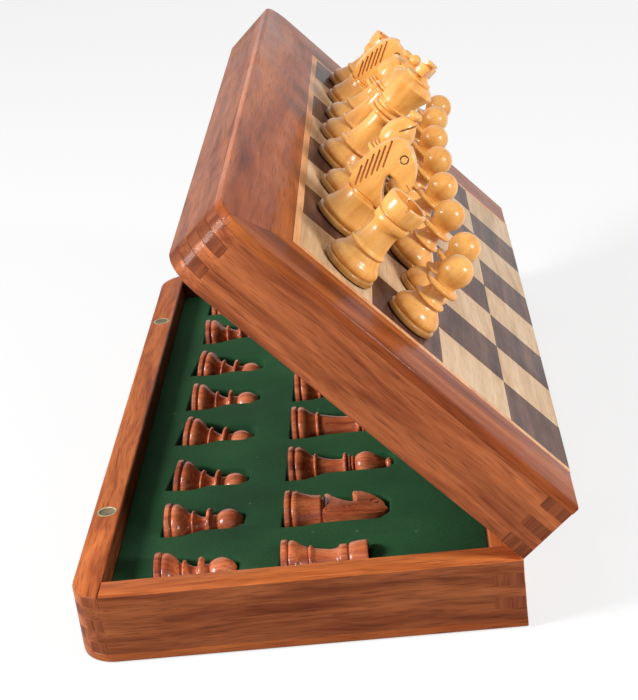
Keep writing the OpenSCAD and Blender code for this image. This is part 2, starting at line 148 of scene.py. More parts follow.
def joined(pieces, name):
    letGo()
    for piece in pieces:
        piece.select_set(True)
    bpy.context.view_layer.objects.active = pieces[0]
    bpy.ops.object.join()
    pieces[0].name = name
    return pieces[0]


# ---- materials
def tint(red, green, blue):
    # a colour as seen on screen, 0 to 255
    def linear(v):
        v = v / 255
        return v / 12.92 if v <= 0.04045 else ((v + 0.055) / 1.055) ** 2.4
    return (linear(red), linear(green), linear(blue), 1.0)


def newGroup(name, inputs, outputs):
    group = bpy.data.node_groups.new(name, "ShaderNodeTree")
    for label, kind, value in inputs:
        socket = group.interface.new_socket(label, in_out="INPUT", socket_type=kind)
        if value is not None:
            socket.default_value = value
    for label, kind in outputs:
        group.interface.new_socket(label, in_out="OUTPUT", socket_type=kind)
    return group, group.nodes.new("NodeGroupInput"), group.nodes.new("NodeGroupOutput")


def addNode(tree, kind, **values):
    node = tree.nodes.new(kind)
    for key, value in values.items():
        if key in node.inputs:
            node.inputs[key].default_value = value
        else:
            setattr(node, key, value)
    return node


def mathNode(tree, operation, first, second=None, clamp=False):
    node = tree.nodes.new("ShaderNodeMath")
    node.operation = operation
    node.use_clamp = clamp
    for slot, value in ((0, first), (1, second)):
        if value is None:
            continue
        if isinstance(value, (int, float)):
            node.inputs[slot].default_value = value
        else:
            tree.links.new(value, node.inputs[slot])
    return node.outputs[0]


def buildGrainGroup():
    # wood that runs along X of the vector it is given, in metres
    group, start, end = newGroup(
        "grain",
        [("Vector", "NodeSocketVector", None), ("Figure", "NodeSocketFloat", 160.0),
         ("Pores", "NodeSocketFloat", 2200.0), ("Waves", "NodeSocketFloat", 0.35)],
        [("Figure", "NodeSocketFloat"), ("Streaks", "NodeSocketFloat"), ("Pores", "NodeSocketFloat")])
    link = group.links.new
    wander = addNode(group, "ShaderNodeTexNoise", Scale=14.0, Detail=2.0)
    link(start.outputs["Vector"], wander.inputs["Vector"])
    shift = addNode(group, "ShaderNodeVectorMath", operation="MULTIPLY_ADD")
    shift.inputs[1].default_value = (0.0, 0.012, 0.012)
    link(wander.outputs["Color"], shift.inputs[0])
    link(start.outputs["Vector"], shift.inputs[2])
    long = addNode(group, "ShaderNodeVectorMath", operation="MULTIPLY")
    long.inputs[1].default_value = (0.07, 1.0, 1.0)
    link(shift.outputs[0], long.inputs[0])
    figure = addNode(group, "ShaderNodeTexNoise", Detail=3.0, Roughness=0.55)
    link(long.outputs[0], figure.inputs["Vector"])
    link(start.outputs["Figure"], figure.inputs["Scale"])
    link(start.outputs["Waves"], figure.inputs["Distortion"])
    streakScale = mathNode(group, "MULTIPLY", start.outputs["Figure"], 4.5)
    streak = addNode(group, "ShaderNodeTexNoise", Detail=2.0, Roughness=0.5)
    link(long.outputs[0], streak.inputs["Vector"])
    link(streakScale, streak.inputs["Scale"])
    fine = addNode(group, "ShaderNodeVectorMath", operation="MULTIPLY")
    fine.inputs[1].default_value = (0.05, 1.0, 1.0)
    link(start.outputs["Vector"], fine.inputs[0])
    pores = addNode(group, "ShaderNodeTexNoise", Detail=1.0)
    link(fine.outputs[0], pores.inputs["Vector"])
    link(start.outputs["Pores"], pores.inputs["Scale"])
    spread = addNode(group, "ShaderNodeMapRange")
    spread.inputs["From Min"].default_value = 0.56
    spread.inputs["From Max"].default_value = 0.72
    link(pores.outputs[0], spread.inputs["Value"])
    link(figure.outputs[0], end.inputs["Figure"])
    link(streak.outputs[0], end.inputs["Streaks"])
    link(spread.outputs[0], end.inputs["Pores"])
    return group


def buildHandlingGroup():
    # faint smears and dust that break up a gloss
    group, start, end = newGroup(
        "handling", [("Vector", "NodeSocketVector", None), ("Low", "NodeSocketFloat", 0.2),
                     ("High", "NodeSocketFloat", 0.35)], [("Roughness", "NodeSocketFloat")])
    smear = addNode(group, "ShaderNodeTexNoise", Scale=55.0, Detail=4.0, Roughness=0.6)
    group.links.new(start.outputs["Vector"], smear.inputs["Vector"])
    spread = addNode(group, "ShaderNodeMapRange")
    spread.inputs["From Min"].default_value = 0.35
    spread.inputs["From Max"].default_value = 0.7
    group.links.new(smear.outputs[0], spread.inputs["Value"])
    group.links.new(start.outputs["Low"], spread.inputs["To Min"])
    group.links.new(start.outputs["High"], spread.inputs["To Max"])
    group.links.new(spread.outputs[0], end.inputs["Roughness"])
    return group


grainGroup = buildGrainGroup()
handlingGroup = buildHandlingGroup()
print("shader groups built")


def newMaterial(name):
    material = bpy.data.materials.new(name)
    material.use_nodes = True
    tree = material.node_tree
    shader = tree.nodes["Principled BSDF"]
    return material, tree, shader


def pieceVector(tree, half, along):
    # Object coordinates, laid back as if the lid were shut, with X turned along the grain
    place = addNode(tree, "ShaderNodeTexCoord").outputs["Object"]
    if half == "lid":
        back = addNode(tree, "ShaderNodeMapping")
        back.inputs["Rotation"].default_value = (0, -math.radians(case["lidOpen"]), 0)
        tree.links.new(place, back.inputs["Vector"])
        place = back.outputs[0]
    turn = {"X": (0, 0, 0), "Y": (0, 0, -math.pi / 2), "Z": (0, math.pi / 2, 0)}[along]
    if along != "X":
        swing = addNode(tree, "ShaderNodeMapping")
        swing.inputs["Rotation"].default_value = turn
        tree.links.new(place, swing.inputs["Vector"])
        place = swing.outputs[0]
    return place


def ramp(tree, factor, stops):
    node = tree.nodes.new("ShaderNodeValToRGB")
    while len(node.color_ramp.elements) < len(stops):
        node.color_ramp.elements.new(0.5)
    for element, (at, colour) in zip(node.color_ramp.elements, stops):
        element.position = at
        element.color = colour
    tree.links.new(factor, node.inputs[0])
    return node.outputs[0]


def mixColour(tree, factor, first, second, blend="MIX"):
    node = tree.nodes.new("ShaderNodeMix")
    node.data_type = "RGBA"
    node.blend_type = blend
    for slot, value in ((0, factor), (6, first), (7, second)):
        if isinstance(value, (int, float, tuple)):
            node.inputs[slot].default_value = value
        else:
            tree.links.new(value, node.inputs[slot])
    return node.outputs[2]


woodRamp = {"figure": (0.3, 0.47, 0.68), "streak": (0.36, 0.56), "poreDepth": 0.0002}


def shaded(colour, shade):
    return tuple(v * shade for v in colour[:3]) + (1.0,)


def woodMaterial(name, look, half="tray", along="X", shade=1.0):
    material, tree, shader = newMaterial(name)
    vector = pieceVector(tree, half, along)
    grain = addNode(tree, "ShaderNodeGroup", node_tree=grainGroup)
    grain.inputs["Figure"].default_value = look["figure"]
    grain.inputs["Pores"].default_value = look["pores"]
    grain.inputs["Waves"].default_value = look["waves"]
    tree.links.new(vector, grain.inputs["Vector"])
    tones = [shaded(look[tone], shade) for tone in ("dark", "middle", "light")]
    colour = ramp(tree, grain.outputs["Figure"], list(zip(woodRamp["figure"], tones)))
    veil = [(look["streak"],) * 3 + (1.0,), (1.0, 1.0, 1.0, 1.0)]
    streak = ramp(tree, grain.outputs["Streaks"], list(zip(woodRamp["streak"], veil)))
    colour = mixColour(tree, 1.0, colour, streak, "MULTIPLY")
    pores = mathNode(tree, "MULTIPLY", grain.outputs["Pores"], look["poreDepth"])
    colour = mixColour(tree, pores, colour, shaded(look["pore"], shade))
    tree.links.new(colour, shader.inputs["Base Color"])
    handling = addNode(tree, "ShaderNodeGroup", node_tree=handlingGroup)
    handling.inputs["Low"].default_value = look["rough"][0]
    handling.inputs["High"].default_value = look["rough"][1]
    tree.links.new(vector, handling.inputs["Vector"])
    tree.links.new(handling.outputs[0], shader.inputs["Roughness"])
    shader.inputs["Specular IOR Level"].default_value = look["shine"]
    shader.inputs["Coat Weight"].default_value = look["coat"]
    shader.inputs["Coat Roughness"].default_value = look["coatRough"]
    bump = addNode(tree, "ShaderNodeBump")
    bump.inputs["Strength"].default_value = look["bump"]
    bump.inputs["Distance"].default_value = woodRamp["poreDepth"]
    bump.invert = True
    tree.links.new(pores, bump.inputs["Height"])
    tree.links.new(bump.outputs[0], shader.inputs["Normal"])
    return material


railLook = {
    "dark": tint(120, 58, 34), "middle": tint(152, 82, 48), "light": tint(182, 104, 62),
    "pore": tint(78, 34, 20), "streak": 0.84, "figure": 250.0, "pores": 2400.0, "waves": 0.5,
    "poreDepth": 0.5, "rough": (0.4, 0.52), "shine": 0.05, "coat": 0.06, "coatRough": 0.06, "bump": 0.25,
}
borderLook = dict(railLook, dark=tint(112, 48, 22), middle=tint(156, 76, 36), light=tint(190, 104, 52),
                  figure=120.0, rough=(0.26, 0.38), coat=0.1, coatRough=0.05)
endLook = dict(railLook, dark=tint(100, 50, 30), middle=tint(130, 68, 42), light=tint(152, 84, 52),
               figure=400.0, poreDepth=0.6, streak=0.9)
# the rail tops: a brighter, more orange copy of the rail wood, a painted light on the faces turned up to
# the lamps
rimTopPaintedLightLook = dict(railLook, dark=tint(140, 66, 32), middle=tint(176, 92, 46), light=tint(204, 114, 60))
lineLook = {
    "dark": tint(212, 148, 98), "middle": tint(230, 168, 116), "light": tint(240, 186, 138),
    "pore": tint(150, 98, 60), "streak": 0.9, "figure": 200.0, "pores": 2600.0, "waves": 0.2,
    "poreDepth": 0.3, "rough": (0.28, 0.4), "shine": 0.08, "coat": 0.08, "coatRough": 0.1, "bump": 0.12,
}
paleLook = {
    "dark": tint(196, 158, 118), "middle": tint(216, 180, 140), "light": tint(230, 198, 162),
    "pore": tint(160, 120, 84), "streak": 0.92, "figure": 220.0, "pores": 3000.0, "waves": 0.25,
    "poreDepth": 0.35, "rough": (0.28, 0.4), "shine": 0.06, "coat": 0.07, "coatRough": 0.06, "bump": 0.12,
}
darkLook = {
    "dark": tint(62, 38, 32), "middle": tint(90, 58, 48), "light": tint(116, 78, 64),
    "pore": tint(38, 26, 26), "streak": 0.84, "figure": 220.0, "pores": 3000.0, "waves": 0.3,
    "poreDepth": 0.5, "rough": (0.28, 0.4), "shine": 0.06, "coat": 0.07, "coatRough": 0.06, "bump": 0.12,
}
boxwoodLook = {
    "dark": tint(222, 150, 70), "middle": tint(236, 168, 84), "light": tint(244, 184, 100),
    "pore": tint(192, 116, 50), "streak": 0.95, "figure": 260.0, "pores": 4200.0, "waves": 0.3,
    "poreDepth": 0.25, "rough": (0.26, 0.36), "shine": 0.3, "coat": 0.25, "coatRough": 0.12, "bump": 0.06,
}
rosewoodLook = {
    "dark": tint(140, 60, 36), "middle": tint(192, 98, 60), "light": tint(226, 130, 84),
    "pore": tint(72, 28, 18), "streak": 0.78, "figure": 260.0, "pores": 3600.0, "waves": 0.4,
    "poreDepth": 0.5, "rough": (0.22, 0.32), "shine": 0.25, "coat": 0.2, "coatRough": 0.08, "bump": 0.1,
}
feltLook = {"deep": tint(24, 56, 34), "lit": tint(36, 80, 46), "lint": tint(64, 112, 70), "nap": 0.15}


def feltMaterial(name, look):
    material, tree, shader = newMaterial(name)
    place = addNode(tree, "ShaderNodeTexCoord").outputs["Object"]
    cloud = addNode(tree, "ShaderNodeTexNoise", Scale=28.0, Detail=3.0)
    fibre = addNode(tree, "ShaderNodeTexNoise", Scale=2600.0, Detail=2.0, Roughness=0.7)
    speck = addNode(tree, "ShaderNodeTexVoronoi", Scale=75.0)
    for node in (cloud, fibre, speck):
        tree.links.new(place, node.inputs["Vector"])
    colour = ramp(tree, cloud.outputs[0], [(0.3, look["deep"]), (0.7, look["lit"])])
    nap = ramp(tree, fibre.outputs[0], [(0.3, (0.72, 0.72, 0.72, 1)), (0.7, (1.15, 1.15, 1.15, 1))])
    colour = mixColour(tree, 1.0, colour, nap, "MULTIPLY")
    lint = mathNode(tree, "LESS_THAN", speck.outputs["Distance"], 0.045)
    colour = mixColour(tree, mathNode(tree, "MULTIPLY", lint, 0.7), colour, look["lint"])
    tree.links.new(colour, shader.inputs["Base Color"])
    shader.inputs["Roughness"].default_value = 0.95
    shader.inputs["Specular IOR Level"].default_value = 0.2
    shader.inputs["Sheen Weight"].default_value = look["nap"]
    shader.inputs["Sheen Roughness"].default_value = 0.5
    shader.inputs["Sheen Tint"].default_value = tint(110, 170, 110)
    bump = addNode(tree, "ShaderNodeBump", Strength=0.5, Distance=0.0003)
    tree.links.new(fibre.outputs[0], bump.inputs["Height"])
    tree.links.new(bump.outputs[0], shader.inputs["Normal"])
    return material


def metalMaterial(name, colour, rough, scratch):
    material, tree, shader = newMaterial(name)
    place = addNode(tree, "ShaderNodeTexCoord").outputs["Object"]
    cloud = addNode(tree, "ShaderNodeTexNoise", Scale=scratch, Detail=5.0)
    tree.links.new(place, cloud.inputs["Vector"])
    tree.links.new(ramp(tree, cloud.outputs[0], [(0.35, shaded(colour, 0.6)), (0.6, colour)]),
                   shader.inputs["Base Color"])
    handling = addNode(tree, "ShaderNodeGroup", node_tree=handlingGroup)
    handling.inputs["Low"].default_value = rough
    handling.inputs["High"].default_value = rough + 0.2
    tree.links.new(place, handling.inputs["Vector"])
    tree.links.new(handling.outputs[0], shader.inputs["Roughness"])
    shader.inputs["Metallic"].default_value = 1.0
    return material


brassMaterial = metalMaterial("hinge brass", tint(214, 178, 104), 0.22, 300.0)
steelMaterial = metalMaterial("sheet steel", tint(170, 172, 174), 0.35, 400.0)
magnetFace = metalMaterial("magnet face", tint(138, 126, 100), 0.55, 500.0)
magnetRim = metalMaterial("magnet plating", tint(210, 198, 158), 0.4, 500.0)
feltGreen = feltMaterial("green felt", feltLook)
footFelt = feltMaterial("foot felt", {"deep": tint(30, 34, 26), "lit": tint(48, 50, 38),
                                      "lint": tint(80, 84, 64), "nap": 0.1})
print("materials built")


# ---- the case: rails, border, line and squares with eased edges
rimLook = {"rimEase": 0.7, "outerEase": 0.6, "jointEase": 0.1, "mitreEase": 0.06, "steps": 3}


def cleanCopy(node, name):
    piece = cad[node].copy()
    piece.data = cad[node].data.copy()
    piece.name = name
    bpy.context.scene.collection.objects.link(piece)
    piece.parent = None
    for key in list(piece.keys()):
        del piece[key]
    piece.data.materials.clear()
    editAll(piece)
    bpy.ops.mesh.remove_doubles(threshold=2e-6)
    bpy.ops.mesh.dissolve_limited(angle_limit=math.radians(1.0))
    bpy.ops.object.mode_set(mode="OBJECT")
    return piece


def easeChosenEdges(piece, width, steps, chosen):
    takeUp(piece)
    bpy.ops.object.mode_set(mode="EDIT")
    bpy.ops.mesh.select_mode(type="EDGE")
    bpy.ops.mesh.select_all(action="DESELECT")
    bpy.ops.object.mode_set(mode="OBJECT")
    mesh = piece.data
    count = 0
    for edge in mesh.edges:
        a, b = (mesh.vertices[k].co for k in edge.vertices)
        if chosen(a, b):
            edge.select = True
            count += 1
    bpy.ops.object.mode_set(mode="EDIT")
    if count:
        bpy.ops.mesh.bevel(offset=width * mm, segments=steps, affect="EDGES", clamp_overlap=True)
    bpy.ops.object.mode_set(mode="OBJECT")


def onOutline(point, slack=0.06):
    w, l, r = case["halfWidth"], case["halfLength"], case["cornerRadius"]
    if point.x < -w + r and abs(point.y) > l - r:
        return abs(math.hypot(point.x + w - r, abs(point.y) - l + r) - r) < slack
    return (abs(abs(point.x) - w) < slack) or (abs(abs(point.y) - l) < slack)


def rimEdge(half):
    def chosen(a, b):
        p, q = asLowerHalf(half, a), asLowerHalf(half, b)
        if abs(p.z - case["halfHeight"]) > touch or abs(q.z - case["halfHeight"]) > touch:
            return False
        middle = (p + q) / 2
        innerX = case["halfWidth"] - case["rail"]
        innerY = case["halfLength"] - case["rail"]
        if onOutline(middle) and onOutline(p) and onOutline(q):
            return True
        onInner = (abs(abs(middle.x) - innerX) < touch and abs(middle.y) < innerY - 0.1) or \
                  (abs(abs(middle.y) - innerY) < touch and abs(middle.x) < innerX - 0.1)
        return onInner and (p - q).length > 3
    return chosen


def faceEdge(half):
    # the outer edge of the board face, round the border
    def chosen(a, b):
        p, q = asLowerHalf(half, a), asLowerHalf(half, b)
        return abs(p.z) < touch and abs(q.z) < touch and onOutline(p) and onOutline(q) \
            and onOutline((p + q) / 2) and max(p.x, q.x) < case["halfWidth"] + 1
    return chosen


def uprightHingeEdge(half):
    def chosen(a, b):
        p, q = asLowerHalf(half, a), asLowerHalf(half, b)
        w, l = case["halfWidth"], case["halfLength"]
        return all(abs(v.x - w) < touch and abs(abs(v.y) - l) < touch for v in (p, q)) \
            and abs(p.z - q.z) > 0.5
    return chosen


railMaterials = {}
# how much lighter or darker each copy of the rail wood is, by half and direction; 'rim' is a painted light
# on the rail tops, 'inner' a painted shade on the inward faces of the rails, and the lid's free rail is
# darker
railShade = {("tray", "X"): 0.8, ("tray", "Y"): 1.18, ("lid", "X"): 1.22, ("lid", "Y"): 1.0,
             "rim": 1.1, "inner": 0.42, "lid free": 0.72}
for half in ("tray", "lid"):
    for along, wayName in (("X", "across"), ("Y", "along")):
        shade = railShade[half, along]
        rail = half + " rail "
        railMaterials[half, along] = woodMaterial(rail + wayName, railLook, half, along, shade)
        railMaterials[half, "end " + along] = woodMaterial(rail + "end " + wayName, endLook, half, "Z")
        # the tops of the rails, with painted light
        railMaterials[half, "rim " + along] = woodMaterial(
            half + " rim " + along, rimTopPaintedLightLook, half, along, railShade["rim"])
        # the inward faces of the rails: a darker copy of the rail wood, a painted shade in the recess
        railMaterials[half, "inner " + along] = woodMaterial(
            half + " inner wall " + along, railLook, half, along, shade * railShade["inner"])
railMaterials["lid", "dark"] = woodMaterial("lid rail free", railLook, "lid", "Y", railShade["lid free"])


def dressRail(half, side, along):
    node = half + "_" + side + "_rail"
    piece = cleanCopy(node, half + "_" + side + "_rail_wood")
    easeChosenEdges(piece, rimLook["outerEase"], rimLook["steps"], uprightHingeEdge(half))
    easeChosenEdges(piece, rimLook["rimEase"], rimLook["steps"], rimEdge(half))
    easeEdges(piece, rimLook["jointEase"], 1, 50)
    long = "dark" if (half, side) == ("lid", "free") else along
    piece.data.materials.append(railMaterials[half, long])
    for kind in ("end ", "rim ", "inner "):
        piece.data.materials.append(railMaterials[half, kind + along])
    axis = 0 if along == "X" else 1
    across = 1 - axis
    for face in piece.data.polygons:
        way = turnedLikeLowerHalf(half, face.normal)
        outward = way[across] if asLowerHalf(half, face.center)[across] > 0 else -way[across]
        if abs(way[axis]) > facing:
            face.material_index = 1
        # faces turned up are the rail tops, with painted light
        elif way.z > facing:
            face.material_index = 2
        # faces turned inward get the painted shade of the recess
        elif outward < -facing:
            face.material_index = 3
    smoothByAngle(piece, 30)
    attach(piece, half)
    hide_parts(node)


for half in ("tray", "lid"):
    for side, along in (("free", "Y"), ("hinge", "Y"), ("near", "X"), ("far", "X")):
        dressRail(half, side, along)
print("rails dressed")


def dressBorder(half):
    node = half + "_border"
    piece = cleanCopy(node, half + "_border_wood")
    easeChosenEdges(piece, rimLook["rimEase"], rimLook["steps"], faceEdge(half))
    easeEdges(piece, rimLook["mitreEase"], 1, 50)
    piece.data.materials.append(woodMaterial(half + " border along", borderLook, half, "Y"))
    piece.data.materials.append(woodMaterial(half + " border across", borderLook, half, "X", 0.92))
    for face in piece.data.polygons:
        middle = asLowerHalf(half, face.center)
        inX = (middle.x + case["halfWidth"]) / case["borderFree"]
        inY = (case["halfLength"] - abs(middle.y)) / case["borderEnds"]
        face.material_index = 0 if inX < inY else 1
    smoothByAngle(piece, 30)
    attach(piece, half)
    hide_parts(node)


def dressInlay(half, part, look, along, ease):
    node = half + "_" + part
    piece = cleanCopy(node, node + "_wood")
    easeEdges(piece, ease, 1, 50)
    piece.data.materials.append(woodMaterial(half + " " + part.replace("_", " "), look, half, along))
    smoothByAngle(piece, 30)
    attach(piece, half)
    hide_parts(node)


for half in ("tray", "lid"):
    dressBorder(half)
    dressInlay(half, "line", lineLook, "Y", 0.04)
    dressInlay(half, "light_squares", paleLook, "Y", 0.05)
    dressInlay(half, "dark_squares", darkLook, "Y", 0.05)
    cad[half + "_steel_sheet"].data.materials.clear()
    cad[half + "_steel_sheet"].data.materials.append(steelMaterial)
print("boards dressed")


# ---- the felt linings, with soft lips round the pockets
liningLook = {"lip": 1.2, "steps": 4, "soften": 0.35, "endsAt": 117.5}


def dressLining(half):
    node = half + "_lining"
    piece = cleanCopy(node, half + "_felt_lining")

    def lipEdge(a, b):
        p, q = asLowerHalf(half, a), asLowerHalf(half, b)
        return abs(p.z - case["feltTop"]) < touch and abs(q.z - case["feltTop"]) < touch \
            and max(abs(p.y), abs(q.y)) < liningLook["endsAt"] and (p - q).length > 0.5
    easeChosenEdges(piece, liningLook["lip"], liningLook["steps"], lipEdge)
    easeEdges(piece, liningLook["soften"], 2, 60)
    piece.data.materials.append(feltGreen)
    smoothByAngle(piece, 50)
    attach(piece, half)
    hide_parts(node)


for half in ("tray", "lid"):
    dressLining(half)
print("linings dressed")


# ---- rim magnets: a dull face inside a bright plated ring
magnetLook = {"ring": 0.45, "step": 0.08}


def dressMagnets(half):
    node = half + "_magnets"
    piece = cleanCopy(node, half + "_rim_magnets")
    takeUp(piece)
    bpy.ops.object.mode_set(mode="EDIT")
    bpy.ops.mesh.select_mode(type="FACE")
    bpy.ops.mesh.select_all(action="DESELECT")
    bpy.ops.object.mode_set(mode="OBJECT")
    for face in piece.data.polygons:
        way = turnedLikeLowerHalf(half, face.normal)
        face.select = way.z > 0.9
    bpy.ops.object.mode_set(mode="EDIT")
    bpy.ops.mesh.inset(thickness=magnetLook["ring"] * mm, depth=0)
    bpy.ops.mesh.inset(thickness=magnetLook["step"] * mm, depth=-magnetLook["step"] * mm)
    bpy.ops.object.mode_set(mode="OBJECT")
    piece.data.materials.append(magnetRim)
    piece.data.materials.append(magnetFace)
    for face in piece.data.polygons:
        if face.select:
            face.material_index = 1
    smoothByAngle(piece, 30)
    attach(piece, half)
    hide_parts(node)


for half in ("tray", "lid"):
    dressMagnets(half)


# ---- brass hinges: leaves and pins keep their shape, screws get a driver slot
hingeLook = {"slot": (0.45, 3.0, 0.7), "slotTurn": 25, "screwSpacing": 8, "leafEase": 0.12}


def dressScrews(half):
    node = half + "_hinge_screws"
    piece = cleanCopy(node, half + "_slotted_screws")
    places = {}
    for vertex in piece.data.vertices:
        local = asLowerHalf(half, vertex.co)
        if abs(local.z - case["halfHeight"]) < touch:
            places.setdefault(round(local.y / hingeLook["screwSpacing"]), []).append(Vector(vertex.co))
    for rim in places.values():
        middle = sum(rim, Vector()) / len(rim)
        tilt = case["lidOpen"] if half == "lid" else 0
        slot = block("screw slot", hingeLook["slot"], middle / mm, (0, tilt, 0))
        slot.rotation_euler.rotate_axis("Z", math.radians(hingeLook["slotTurn"]))
        cutAway(piece, slot)
    piece.data.materials.clear()
    piece.data.materials.append(brassMaterial)
    smoothByAngle(piece, 30)
    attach(piece, half)
    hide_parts(node)


for half in ("tray", "lid"):
    dressScrews(half)
    leaves = cleanCopy(half + "_hinge_leaves", half + "_brass_leaves")
    easeEdges(leaves, hingeLook["leafEase"], 2, 60)
    leaves.data.materials.append(brassMaterial)
    smoothByAngle(leaves, 30)
    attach(leaves, half)
    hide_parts(half + "_hinge_leaves")
cad["hinge_pins"].data.materials.clear()
cad["hinge_pins"].data.materials.append(brassMaterial)
print("hinges and magnets dressed")


# ---- the men
men = {
    "plinth": 2.25,
    "pawn": {"foot": 7.8, "height": 24.2, "ball": 4.8},
    "rook": {"foot": 8.2, "height": 25.5, "top": 6.2},
    "knight": {"foot": 8.4, "height": 31.9, "thick": 8.4,
               "eye": {"x": 1.3, "z": 27.5, "radius": 1.15, "groove": 0.24},
               "mane": [(-3.4, 25.6, 8.0), (-3.9, 23.5, 7.7), (-4.3, 21.6, 7.6), (-4.8, 19.7, 7.4),
                        (-5.1, 17.6, 7.0), (-5.4, 15.6, 6.0)]},
    "bishop": {"foot": 8.4, "height": 33.5, "head": 4.8},
    "queen": {"foot": 8.5, "height": 40.0, "top": 6.8},
    "king": {"foot": 8.6, "height": 44.9, "top": 7.7},
}


def arcSteps(middleR, middleZ, radius, fromDeg, toDeg, count):
    steps = []
    for k in range(count):
        a = math.radians(fromDeg + (toDeg - fromDeg) * k / (count - 1))
        steps.append((middleR + radius * math.cos(a), middleZ + radius * math.sin(a)))
    return steps


def flowSteps(points, cuts=4):
    # a smooth line through a few points of the outline
    steps = []
    for k in range(len(points) - 1):
        p0 = points[max(k - 1, 0)]
        p1, p2 = points[k], points[k + 1]
        p3 = points[min(k + 2, len(points) - 1)]
        for c in range(cuts):
            t = c / cuts
            steps.append(tuple(
                0.5 * (2 * b + (c2 - a) * t + (2 * a - 5 * b + 4 * c2 - d) * t * t
                       + (3 * b - a - 3 * c2 + d) * t * t * t)
                for a, b, c2, d in zip(p0, p1, p2, p3)))
    return steps + [points[-1]]


def turned(name, steps, sides=48):
    # a turned form: a filled circle pulled up ring by ring
    letGo()
    radius, height = steps[0]
    bpy.ops.mesh.primitive_circle_add(vertices=sides, radius=radius * mm, fill_type="NGON",
                                      location=(0, 0, height * mm))
    piece = bpy.context.object
    piece.name = name
    freeze(piece)
    bpy.ops.object.mode_set(mode="EDIT")
    bpy.ops.mesh.select_mode(type="FACE")
    bpy.ops.mesh.select_all(action="SELECT")
    for nextRadius, nextHeight in steps[1:]:
        bpy.ops.mesh.extrude_region_move(
            TRANSFORM_OT_translate={"value": (0, 0, (nextHeight - height) * mm)})
        grow = nextRadius / radius
        bpy.ops.transform.resize(value=(grow, grow, 1), center_override=(0, 0, nextHeight * mm))
        radius, height = nextRadius, nextHeight
    bpy.ops.mesh.select_all(action="SELECT")
    bpy.ops.mesh.normals_make_consistent(inside=False)
    bpy.ops.object.mode_set(mode="OBJECT")
    return piece


def footSteps(r, neck):
    # a plinth, a groove and a bell that is hollow towards the neck
    return ([(r - 0.35, 0.4), (r - 0.1, 0.55), (r, 0.9), (r, 1.7), (r - 0.1, 2.0), (r - 0.35, 2.15),
             (r - 0.85, 2.3), (r - 0.8, 2.5)]
            + flowSteps([(r - 0.55, 2.7), (r - 0.38, 3.3), (r - 0.5, 4.1), (r - 1.0, 5.0),
                         (r - 1.8, 5.9), (neck + 0.5, 7.2), (neck, 8.2)], 3))


def beadSteps(r, z, thick):
    return arcSteps(r - thick / 2, z + thick / 2, thick / 2, -85, 85, 6)


def feltFoot(r):
    return turned("foot felt", [(r - 1.0, 0.0), (r - 0.8, 0.1), (r - 0.8, 0.5)], 40)


# slots that setMan fills with the wood of its side: the wood, a darker copy on the plinth (painted shade
# low on the man) and a darker copy in the knight's eye groove (painted shade)
woodPlaces = [bpy.data.materials.new(part + " place") for part in ("wood", "plinth", "burnt")]


def finishMan(name, wood, r):
    smoothByAngle(wood, 42)
    felt = feltFoot(r)
    smoothByAngle(felt, 40)
    wood.data.materials.clear()
    felt.data.materials.clear()
    wood.data.materials.append(woodPlaces[0])
    felt.data.materials.append(footFelt)
    man = joined([wood, felt], name)
    man.data.materials.append(woodPlaces[1])
    man.data.materials.append(woodPlaces[2])
    # faces below the plinth top take the darker plinth slot, a painted shade low on the man
    for face in man.data.polygons:
        if face.material_index == 0 and face.center.z < men["plinth"] * mm:
            face.material_index = 2
    return man


def makePawn():
    s = men["pawn"]
    ballZ = s["height"] - s["ball"]
    steps = footSteps(s["foot"], 4.0)
    steps += beadSteps(5.0, 8.2, 1.0)
    steps += flowSteps([(3.9, 9.4), (3.1, 10.8), (2.8, 12.2), (3.2, 12.9)], 3)
    steps += beadSteps(5.5, 12.9, 1.5)
    steps += [(3.3, 14.6)]
    steps += arcSteps(0, ballZ, s["ball"], -46, 88, 18)
    return finishMan("pawn model", turned("pawn", steps), s["foot"])


def makeRook():
    s = men["rook"]
    top, r = s["height"], s["top"]
    steps = footSteps(s["foot"], 5.3)
    steps += beadSteps(5.9, 8.2, 1.2)
    steps += flowSteps([(5.1, 9.6), (4.6, 12.3), (4.3, 15.0), (4.6, 16.6)], 3)
    steps += [(5.3, top - 8.3), (5.5, top - 8.0), (5.5, top - 6.3), (5.35, top - 6.0),
              (4.9, top - 5.85), (4.9, top - 5.6)]
    steps += flowSteps([(5.4, top - 5.45), (r - 0.4, top - 4.8), (r - 0.1, top - 3.0), (r, top - 0.3)], 3)
    steps += [(r - 0.25, top), (r - 1.0, top), (r - 1.2, top - 0.2), (r - 1.3, top - 2.6),
              (r - 1.7, top - 3.0), (0.3, top - 3.0)]
    rook = turned("rook", steps)
    for turn in (65, 155):
        cutAway(rook, block("notch", (2 * r + 2, 0.8, 2.8), (0, 0, top), (0, 0, turn)))
    return finishMan("rook model", rook, s["foot"])


def makeBishop(name, rise):
    s = men["bishop"]
    r, head = s["head"], s["height"] - 12.2
    top = head + rise
    steps = footSteps(s["foot"], 4.9)
    steps += beadSteps(5.5, 8.2, 1.2)
    steps += flowSteps([(4.5, 9.6), (3.5, 12.5), (3.0, 15.5), (3.1, head - 3.9)], 3)
    steps += beadSteps(5.0, head - 3.6, 1.3) + [(3.4, head - 2.25)] + beadSteps(4.2, head - 2.1, 0.9)
    steps += [(3.0, head - 1.1)] + beadSteps(3.8, head - 1.0, 0.8)
    steps += flowSteps([(2.9, head - 0.1), (4.2, head + 1.2), (r, head + 3.0), (r - 0.15, top - 7.6),
                        (r - 1.1, top - 5.4), (r - 2.3, top - 3.6), (1.5, top - 2.7)], 4)
    steps += [(1.3, top - 2.5)] + arcSteps(1.1, top - 1.15, 1.1, -70, 70, 8)
    steps += [(0.9, top - 0.04), (0.3, top)]
    bishop = turned("bishop", steps)
    # the slit starts inside the mitre and runs out of it upwards
    cutAway(bishop, block("slit", (6.4, 12.0, 0.55), (1.2, 0, head + 9.3), (0, -57, 0)))
    return finishMan(name, bishop, s["foot"])


